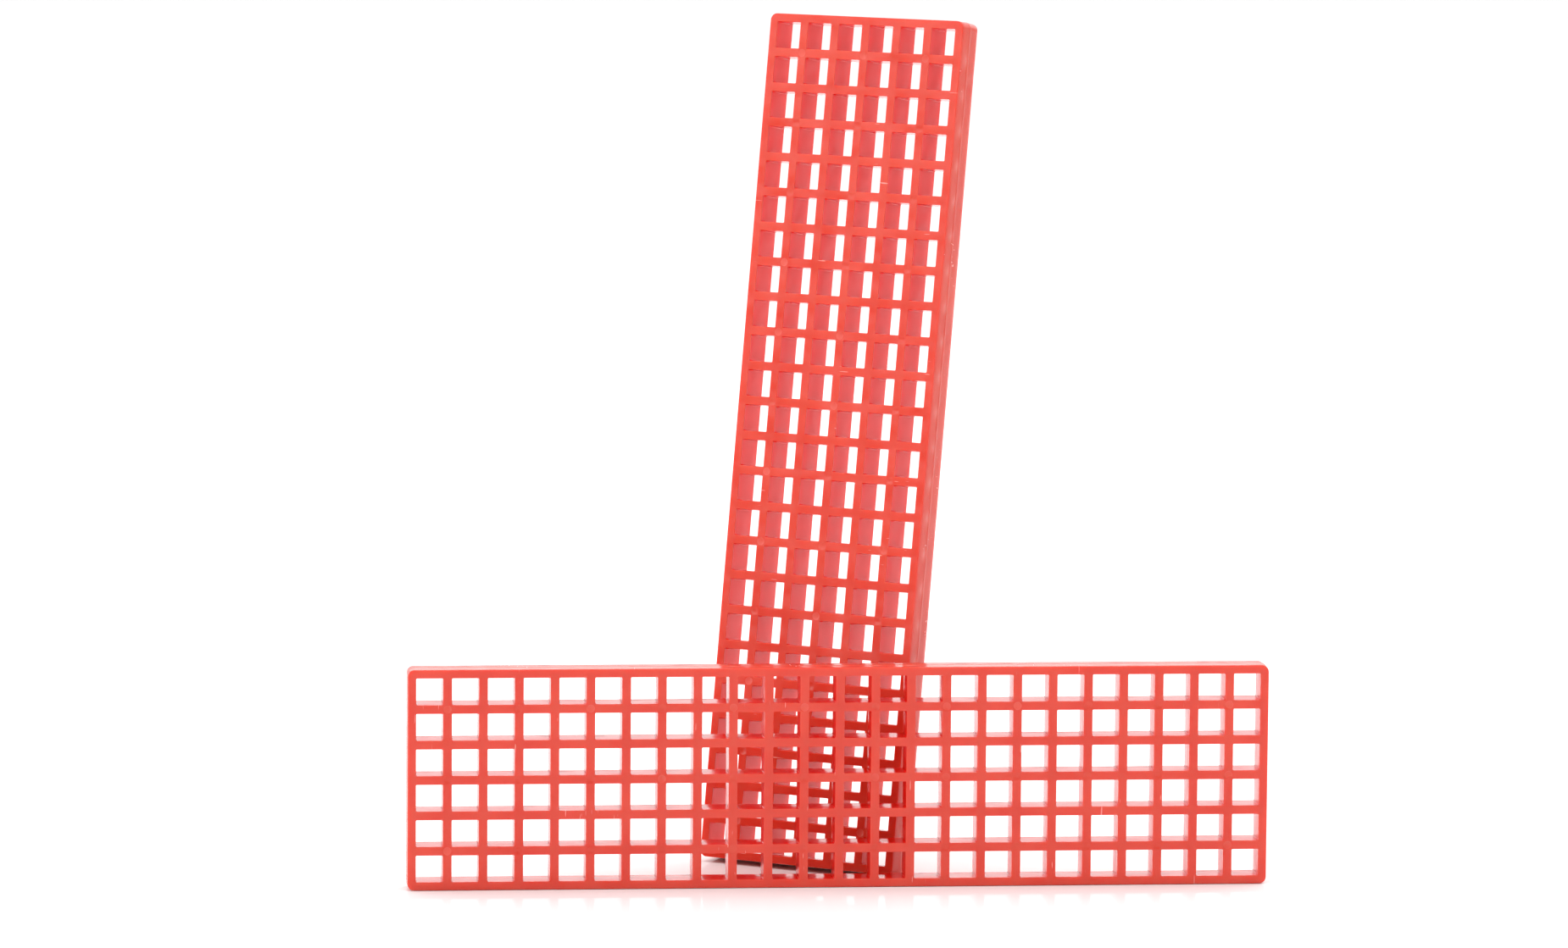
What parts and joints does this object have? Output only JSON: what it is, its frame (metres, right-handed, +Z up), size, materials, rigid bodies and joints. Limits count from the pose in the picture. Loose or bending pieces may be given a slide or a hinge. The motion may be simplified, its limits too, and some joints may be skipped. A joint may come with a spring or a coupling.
{
  "type": "queen excluder",
  "caption": "Red plastic beehive grids of square cells that pass worker bees and stop a queen: one lies on its long side, the other stands leaning behind it.",
  "frame": {"origin": "middle of the pair's bounding box, on the ground that both grids stand on", "axes": "+Z up; -Y is the way the lying grid's front face looks; +X along the lying grid, to the right seen from the front"},
  "size_m": [0.1406, 0.0486, 0.1397],
  "materials": {
    "red_plastic": "semi-gloss"
  },
  "bodies": {
    "lying": {"lying_grid": "red_plastic"},
    "standing": {"standing_grid": "red_plastic"}
  },
  "joints": [
    {"name": "lift_off", "type": "slide", "parent": "lying", "child": "standing", "axis": [0, 0, 1], "range_m": [0, 0.04]}
  ]
}
